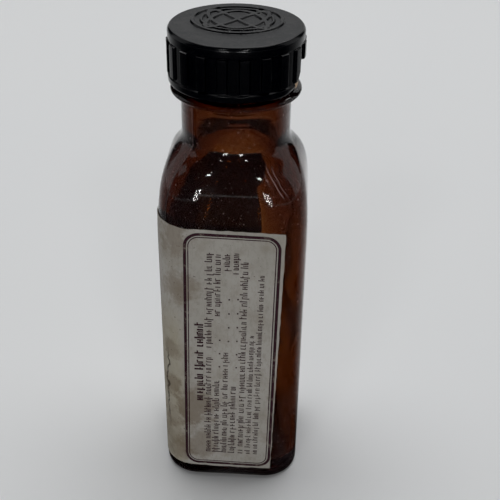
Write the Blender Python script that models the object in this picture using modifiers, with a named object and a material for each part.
"""Square amber medicine bottle with a fluted screw cap, a two-disc liner and a wrap-round paper label.

The origin is the centre of the base on the surface it stands on. +Z is up along the neck, -Y is the
front face that carries the label's main panel, and -X is the side that the label wraps round.
"""
import math

import bmesh
import bpy
from mathutils import Matrix, Vector

MM = 0.001
TAU = 2 * math.pi
GAP = 0.3 * MM                  # left between neighbours that touch on the real object

# Bottle body, a rounded square that narrows to a round neck
BODY_HALF = 17.8 * MM
BODY_CORNER = 9.0 * MM
WALL = 2.0 * MM
BASE_FILLET = 1.7 * MM
BASE_THICKNESS = 3.2 * MM
BEARING_HALF = 12.6 * MM        # inner edge of the flat ring that the bottle stands on
PUSH_UP = 0.9 * MM
PUSH_UP_CORNER = 3.6 * MM       # corner radius of the push-up at its top
BEARING_CORNER = 4.5 * MM       # corner radius of the push-up where it meets the flat ring
INNER_CORNER = 9.5 * MM         # rounder than the outside, so the glass is thickest at the corners
INNER_FILLET = 2.0 * MM

# Half width and height along the shoulder, as two Bezier spans: the swell, then the fillet into the neck
SHOULDER_SWELL = [(17.8, 70.0), (17.8, 82.2), (17.3, 88.4), (14.2, 92.6)]
SHOULDER_FILLET = [(14.2, 92.6), (13.3, 93.8), (12.65, 94.7), (12.65, 96.4)]
INNER_SWELL = [(15.8, 68.0), (15.8, 79.0), (15.0, 86.0), (11.6, 90.4)]
INNER_FILLET_SPAN = [(11.6, 90.4), (10.5, 91.8), (9.8, 93.0), (9.8, 95.0)]
SWELL_RINGS = 7
FILLET_RINGS = 3
ROUNDING_POWER = 1.5            # how late the section turns from square to round

# Neck and threaded finish
NECK_RADIUS = 12.65 * MM
BORE_RADIUS = 9.8 * MM
BEAD_RADIUS = 15.0 * MM
BEAD_HEIGHT = 106.6 * MM
BEAD_HALF_THICKNESS = 0.9 * MM
BEAD_RINGS = 6
FINISH_RADIUS = 12.6 * MM
LIP_HEIGHT = 116.9 * MM
LIP_ROUND = 0.5 * MM
BOTTLE_SEGMENTS = 48

# Screw thread, shared by the bottle and the cap: right-handed, six turns to the inch
THREAD_PITCH = 25.4 / 6 * MM
THREAD_RADIUS = 13.7 * MM
THREAD_ROOT_HALF = 1.1 * MM
THREAD_CREST_HALF = 0.6 * MM
THREAD_START_HEIGHT = 110.9 * MM
THREAD_TURNS = 1.1
CAP_THREAD_RADIUS = 12.95 * MM
CAP_THREAD_ROOT_HALF = 0.9 * MM
CAP_THREAD_CREST_HALF = 0.45 * MM
CAP_THREAD_DROP = 1.74 * MM     # the cap's ridge runs this far under the bottle's
CAP_THREAD_TURNS = 1.0
THREAD_STEPS_PER_TURN = 36
THREAD_RUN_OUT = 30.0           # degrees over which each end of a ridge fades into its wall
THREAD_BURIED = 0.3 * MM        # depth of a ridge's foot inside its wall
THREAD_END_SHARE = 0.1          # share of the full height, measured from its foot, where a ridge ends
CAP_THREAD_START_ANGLE = 30.0   # degrees from +X
CAP_THREAD_START_HEIGHT = (THREAD_START_HEIGHT - CAP_THREAD_DROP
                           + THREAD_PITCH * CAP_THREAD_START_ANGLE / 360.0)

# Cap
CAP_TOP = 121.0 * MM
CAP_BOTTOM = 108.4 * MM
CAP_CEILING = 119.1 * MM
CAP_INNER_RADIUS = 14.05 * MM
CAP_BAND_RADIUS = 15.3 * MM
CAP_VALLEY_RADIUS = 15.05 * MM
CAP_FOOT_RADIUS = 15.45 * MM
CAP_EDGE_ROUND = 1.1 * MM
CAP_FOOT_ROUND = 0.7 * MM
CAP_MOUTH_CHAMFER = 0.3 * MM
CAP_SEGMENTS = 80
ROUND_STEPS = 4
RIB_COUNT = 20
RIB_RADIUS = 15.6 * MM
RIB_FOOT_RADIUS = 14.45 * MM    # inside the skirt's wall
RIB_WIDTH = 2.25 * MM
RIB_TOP = 118.3 * MM
RIB_BOTTOM = 110.5 * MM
RIB_CENTRE = -79.4              # degrees from +X to the middle of the first rib
RIB_EDGE = 0.2 * MM

# Broken notch in the skirt: angles from the front (-Y) towards +X, and the height of the broken edge
NOTCH_EDGE = [(43.0, 108.2), (51.0, 108.8), (55.0, 109.1), (59.0, 110.4), (62.0, 111.7), (71.0, 113.9),
              (79.0, 114.4), (92.0, 114.2), (104.0, 112.4), (116.0, 108.2)]
NOTCH_SLANT = 0.5 * MM          # the inner edge of the break lies this much lower
NOTCH_INNER_RADIUS = 12.2 * MM
NOTCH_OUTER_RADIUS = 16.8 * MM
NOTCH_FLOOR = 107.4 * MM

# Liner discs
DISC_RADIUS = 13.4 * MM
FACING_THICKNESS = 0.3 * MM
DISC_SEGMENTS = 48

# Label
LABEL_THICKNESS = 0.15 * MM
LABEL_BOTTOM = 3.9 * MM
LABEL_TOP = 78.4 * MM
LABEL_FRONT_END = 12.5 * MM     # +X end of the label on the front face
LABEL_BACK_END = 9.5 * MM       # +X end of the label on the back face
LABEL_CORNER_STEPS = 8


def clear_scene():
    for obj in list(bpy.data.objects):
        bpy.data.objects.remove(obj, do_unlink=True)


def make_collection(name):
    collection = bpy.data.collections.new(name)
    bpy.context.scene.collection.children.link(collection)
    return collection


def make_material(name, color, roughness, metallic=0.0):
    material = bpy.data.materials.new(name)
    material.use_nodes = True
    shader = material.node_tree.nodes["Principled BSDF"]
    shader.inputs["Base Color"].default_value = (*color, 1.0)
    shader.inputs["Roughness"].default_value = roughness
    shader.inputs["Metallic"].default_value = metallic
    material.diffuse_color = (*color, 1.0)
    return material


def add_object(name, bm, collection, material=None, smooth_angle=40.0):
    """Turn a bmesh into an object with outward faces, shaded smooth below the given angle."""
    bmesh.ops.recalc_face_normals(bm, faces=bm.faces)
    mesh = bpy.data.meshes.new(name)
    bm.to_mesh(mesh)
    bm.free()
    mesh.shade_smooth()
    mesh.set_sharp_from_angle(angle=math.radians(smooth_angle))
    obj = bpy.data.objects.new(name, mesh)
    collection.objects.link(obj)
    if material is None:
        obj.hide_render = True
        obj.display_type = "WIRE"
    else:
        mesh.materials.append(material)
    return obj


def add_boolean(target, tool, operation):
    modifier = target.modifiers.new(operation.lower() + "_" + tool.name, "BOOLEAN")
    modifier.operation = operation
    modifier.object = tool


def section_ring(half, corner, height):
    """Points of a rounded square of the given half width; corner equal to half makes a circle."""
    points = []
    for index in range(BOTTLE_SEGMENTS):
        angle = TAU * (index + 0.5) / BOTTLE_SEGMENTS
        centre_x = math.copysign(half - corner, math.cos(angle))
        centre_y = math.copysign(half - corner, math.sin(angle))
        points.append(Vector((centre_x + corner * math.cos(angle),
                              centre_y + corner * math.sin(angle), height)))
    return points


def loft(bm, rings):
    """Bridge equal rings in order and close both ends with a flat face."""
    rows = [[bm.verts.new(point) for point in ring] for ring in rings]
    count = len(rows[0])
    for lower, upper in zip(rows, rows[1:]):
        for index in range(count):
            after = (index + 1) % count
            bm.faces.new((lower[index], lower[after], upper[after], upper[index]))
    bm.faces.new(rows[0])
    bm.faces.new(rows[-1])


def bezier_point(span, t):
    """Half width and height, in metres, at t along a cubic Bezier span given in millimetres."""
    weights = ((1 - t) ** 3, 3 * t * (1 - t) ** 2, 3 * t * t * (1 - t), t ** 3)
    half = sum(weight * point[0] for weight, point in zip(weights, span))
    height = sum(weight * point[1] for weight, point in zip(weights, span))
    return half * MM, height * MM


def shoulder_sections(swell, fillet, half, corner, neck):
    """Sections of the shoulder, from the square body up to the round neck."""
    outline = [bezier_point(swell, step / SWELL_RINGS) for step in range(1, SWELL_RINGS + 1)]
    outline += [bezier_point(fillet, step / FILLET_RINGS) for step in range(1, FILLET_RINGS + 1)]
    sections = []
    for width, height in outline:
        narrowing = min(1.0, (half - width) / (half - neck))
        radius = corner + (width - corner) * narrowing ** ROUNDING_POWER
        sections.append((width, min(radius, width), height))
    return sections


def bottle_sections():
    """Half width, corner radius and height of each section, up the outside and down the inside."""
    sections = [(BEARING_HALF - PUSH_UP, PUSH_UP_CORNER, PUSH_UP),
                (BEARING_HALF, BEARING_CORNER, 0.0)]
    for step in range(ROUND_STEPS + 1):
        turn = 0.5 * math.pi * step / ROUND_STEPS
        inset = BASE_FILLET * (1 - math.sin(turn))
        sections.append((BODY_HALF - inset, BODY_CORNER - inset, BASE_FILLET * (1 - math.cos(turn))))
    sections.append((BODY_HALF, BODY_CORNER, SHOULDER_SWELL[0][1] * MM))
    sections += shoulder_sections(SHOULDER_SWELL, SHOULDER_FILLET, BODY_HALF, BODY_CORNER, NECK_RADIUS)
    for step in range(BEAD_RINGS + 1):
        turn = math.pi * step / BEAD_RINGS
        radius = NECK_RADIUS + (BEAD_RADIUS - NECK_RADIUS) * math.sin(turn)
        sections.append((radius, radius, BEAD_HEIGHT - BEAD_HALF_THICKNESS * math.cos(turn)))
    for radius, height in ((FINISH_RADIUS, LIP_HEIGHT - LIP_ROUND),
                           (FINISH_RADIUS - LIP_ROUND, LIP_HEIGHT),
                           (BORE_RADIUS + LIP_ROUND, LIP_HEIGHT),
                           (BORE_RADIUS, LIP_HEIGHT - LIP_ROUND)):
        sections.append((radius, radius, height))
    inner_half = BODY_HALF - WALL
    sections += reversed(shoulder_sections(INNER_SWELL, INNER_FILLET_SPAN, inner_half, INNER_CORNER,
                                           BORE_RADIUS))
    sections.append((inner_half, INNER_CORNER, INNER_SWELL[0][1] * MM))
    for step in range(ROUND_STEPS + 1):
        turn = 0.5 * math.pi * step / ROUND_STEPS
        inset = INNER_FILLET * (1 - math.cos(turn))
        height = BASE_THICKNESS + INNER_FILLET * (1 - math.sin(turn))
        sections.append((inner_half - inset, INNER_CORNER - inset, height))
    return sections


def thread_ridge(name, collection, root, crest, root_half, crest_half, start_height, start_angle, turns):
    """A helical ridge whose foot is buried in the wall at the root radius and whose ends fade out."""
    inward = -1 if crest < root else 1
    foot = root - inward * THREAD_BURIED
    steps = round(THREAD_STEPS_PER_TURN * turns)
    total = 360.0 * turns
    bm = bmesh.new()
    rings = []
    for step in range(steps + 1):
        travelled = total * step / steps
        full = min(1.0, travelled / THREAD_RUN_OUT, (total - travelled) / THREAD_RUN_OUT)
        top = foot + (crest - foot) * (THREAD_END_SHARE + (1.0 - THREAD_END_SHARE) * full)
        angle = math.radians(start_angle + travelled)
        middle = start_height + THREAD_PITCH * travelled / 360.0
        corners = ((foot, -root_half), (top, -crest_half), (top, crest_half), (foot, root_half))
        rings.append([Vector((radius * math.cos(angle), radius * math.sin(angle), middle + offset))
                      for radius, offset in corners])
    loft(bm, rings)
    return add_object(name, bm, collection)


def make_bottle(parts, tools, glass):
    bm = bmesh.new()
    loft(bm, [section_ring(*section) for section in bottle_sections()])
    bottle = add_object("bottle", bm, parts, glass, smooth_angle=35.0)
    ridge = thread_ridge("bottle_thread", tools, FINISH_RADIUS, THREAD_RADIUS, THREAD_ROOT_HALF,
                         THREAD_CREST_HALF, THREAD_START_HEIGHT, 0.0, THREAD_TURNS)
    add_boolean(bottle, ridge, "UNION")


def cap_profile():
    """Radius and height down the outside of the cap, round its mouth and up the inside."""
    points = [(0.0, CAP_TOP)]
    for step in range(ROUND_STEPS + 1):
        turn = 0.5 * math.pi * step / ROUND_STEPS
        points.append((CAP_BAND_RADIUS - CAP_EDGE_ROUND * (1 - math.sin(turn)),
                       CAP_TOP - CAP_EDGE_ROUND * (1 - math.cos(turn))))
    step_in = CAP_BAND_RADIUS - CAP_VALLEY_RADIUS
    points.append((CAP_BAND_RADIUS, RIB_TOP + 0.5 * step_in))
    points.append((CAP_VALLEY_RADIUS, RIB_TOP - 0.5 * step_in))
    step_out = CAP_FOOT_RADIUS - CAP_VALLEY_RADIUS
    points.append((CAP_VALLEY_RADIUS, RIB_BOTTOM + step_out))
    points.append((CAP_FOOT_RADIUS, RIB_BOTTOM - 0.5 * step_out))
    for step in range(ROUND_STEPS + 1):
        turn = 0.5 * math.pi * step / ROUND_STEPS
        points.append((CAP_FOOT_RADIUS - CAP_FOOT_ROUND * (1 - math.cos(turn)),
                       CAP_BOTTOM + CAP_FOOT_ROUND * (1 - math.sin(turn))))
    points.append((CAP_INNER_RADIUS + CAP_MOUTH_CHAMFER, CAP_BOTTOM))
    points.append((CAP_INNER_RADIUS, CAP_BOTTOM + CAP_MOUTH_CHAMFER))
    points.append((CAP_INNER_RADIUS, CAP_CEILING))
    points.append((0.0, CAP_CEILING))
    return points


def turned_object(name, profile, segments, collection, material):
    """A closed turned solid from a profile at +X whose two ends are on the Z axis."""
    mesh = bpy.data.meshes.new(name)
    edges = [(index, index + 1) for index in range(len(profile) - 1)]
    mesh.from_pydata([(radius, 0.0, height) for radius, height in profile], edges, [])
    mesh.materials.append(material)
    obj = bpy.data.objects.new(name, mesh)
    collection.objects.link(obj)
    screw = obj.modifiers.new("turn", "SCREW")
    screw.axis = "Z"
    screw.steps = segments
    screw.render_steps = segments
    screw.use_merge_vertices = True
    screw.merge_threshold = 0.00001
    screw.use_smooth_shade = True
    return obj


def cap_ribs(tools):
    """The raised grip ribs, each a bevelled block whose foot is buried in the skirt."""
    bm = bmesh.new()
    size = Vector((RIB_RADIUS - RIB_FOOT_RADIUS, RIB_WIDTH, RIB_TOP - RIB_BOTTOM))
    centre = Vector(((RIB_RADIUS + RIB_FOOT_RADIUS) / 2, 0.0, (RIB_TOP + RIB_BOTTOM) / 2))
    for index in range(RIB_COUNT):
        turn = Matrix.Rotation(math.radians(RIB_CENTRE + 360.0 * index / RIB_COUNT), 4, "Z")
        block = bmesh.ops.create_cube(bm, size=1.0)["verts"]
        bmesh.ops.scale(bm, vec=size, verts=block)
        bmesh.ops.translate(bm, vec=centre, verts=block)
        outer_edges = [edge for edge in {edge for vert in block for edge in vert.link_edges}
                       if min(vert.co.x for vert in edge.verts) > centre.x]
        bevelled = bmesh.ops.bevel(bm, geom=outer_edges, offset=RIB_EDGE, segments=1, affect="EDGES")
        moved = set(block) | set(bevelled["verts"])
        bmesh.ops.transform(bm, matrix=turn, verts=[vert for vert in moved if vert.is_valid])
    return add_object("cap_ribs", bm, tools)


def cap_notch(tools):
    """A curved wedge that takes the broken piece out of the skirt."""
    bm = bmesh.new()
    rings = []
    for from_front, edge_height in NOTCH_EDGE:
        angle = math.radians(from_front - 90.0)
        upper = edge_height * MM
        corners = ((NOTCH_INNER_RADIUS, NOTCH_FLOOR), (NOTCH_OUTER_RADIUS, NOTCH_FLOOR),
                   (NOTCH_OUTER_RADIUS, upper), (NOTCH_INNER_RADIUS, upper - NOTCH_SLANT))
        rings.append([Vector((radius * math.cos(angle), radius * math.sin(angle), height))
                      for radius, height in corners])
    loft(bm, rings)
    return add_object("cap_notch", bm, tools)


def make_cap(parts, tools, phenolic):
    cap = turned_object("cap_shell", cap_profile(), CAP_SEGMENTS, parts, phenolic)
    ridge = thread_ridge("cap_thread", tools, CAP_INNER_RADIUS, CAP_THREAD_RADIUS, CAP_THREAD_ROOT_HALF,
                         CAP_THREAD_CREST_HALF, CAP_THREAD_START_HEIGHT, CAP_THREAD_START_ANGLE,
                         CAP_THREAD_TURNS)
    add_boolean(cap, cap_ribs(tools), "UNION")
    add_boolean(cap, ridge, "UNION")
    add_boolean(cap, cap_notch(tools), "DIFFERENCE")


def make_liner(parts, pulp, facing):
    facing_bottom = LIP_HEIGHT + GAP
    facing_top = facing_bottom + FACING_THICKNESS
    for name, material, bottom, top in (("liner_facing", facing, facing_bottom, facing_top),
                                        ("liner_backing", pulp, facing_top + GAP, CAP_CEILING - GAP)):
        bm = bmesh.new()
        lift = Matrix.Translation((0.0, 0.0, (bottom + top) / 2))
        bmesh.ops.create_cone(bm, cap_ends=True, segments=DISC_SEGMENTS, radius1=DISC_RADIUS,
                              radius2=DISC_RADIUS, depth=top - bottom, matrix=lift)
        add_object(name, bm, parts, material)


def label_path():
    """Plan of the label's inner face, from the front's +X end round the -X side to the back."""
    reach = BODY_HALF + GAP
    radius = BODY_CORNER + GAP
    centre = reach - radius
    path = [(LABEL_FRONT_END, -reach)]
    for centre_y, first_angle in ((-centre, 270.0), (centre, 180.0)):
        for step in range(LABEL_CORNER_STEPS + 1):
            angle = math.radians(first_angle - 90.0 * step / LABEL_CORNER_STEPS)
            path.append((-centre + radius * math.cos(angle), centre_y + radius * math.sin(angle)))
    path.append((LABEL_BACK_END, reach))
    return path


def make_label(parts, paper):
    bm = bmesh.new()
    path = label_path()
    lower = [bm.verts.new((x, y, LABEL_BOTTOM)) for x, y in path]
    upper = [bm.verts.new((x, y, LABEL_TOP)) for x, y in path]
    for index in range(len(path) - 1):
        bm.faces.new((lower[index], upper[index], upper[index + 1], lower[index + 1]))
    mesh = bpy.data.meshes.new("label")
    bm.to_mesh(mesh)
    bm.free()
    mesh.shade_smooth()
    mesh.materials.append(paper)
    label = bpy.data.objects.new("label", mesh)
    parts.objects.link(label)
    solidify = label.modifiers.new("paper", "SOLIDIFY")
    solidify.thickness = LABEL_THICKNESS
    solidify.offset = 1.0
    solidify.use_even_offset = True


def main():
    clear_scene()
    parts = make_collection("square_medicine_bottle")
    tools = make_collection("shaping_tools")
    make_bottle(parts, tools, make_material("amber_glass", (0.16, 0.05, 0.015), 0.08))
    make_cap(parts, tools, make_material("black_phenolic", (0.015, 0.015, 0.017), 0.35))
    make_liner(parts, make_material("pulpboard", (0.55, 0.47, 0.35), 0.9),
               make_material("varnished_paper", (0.75, 0.68, 0.5), 0.45))
    make_label(parts, make_material("aged_paper", (0.42, 0.4, 0.33), 0.85))


main()
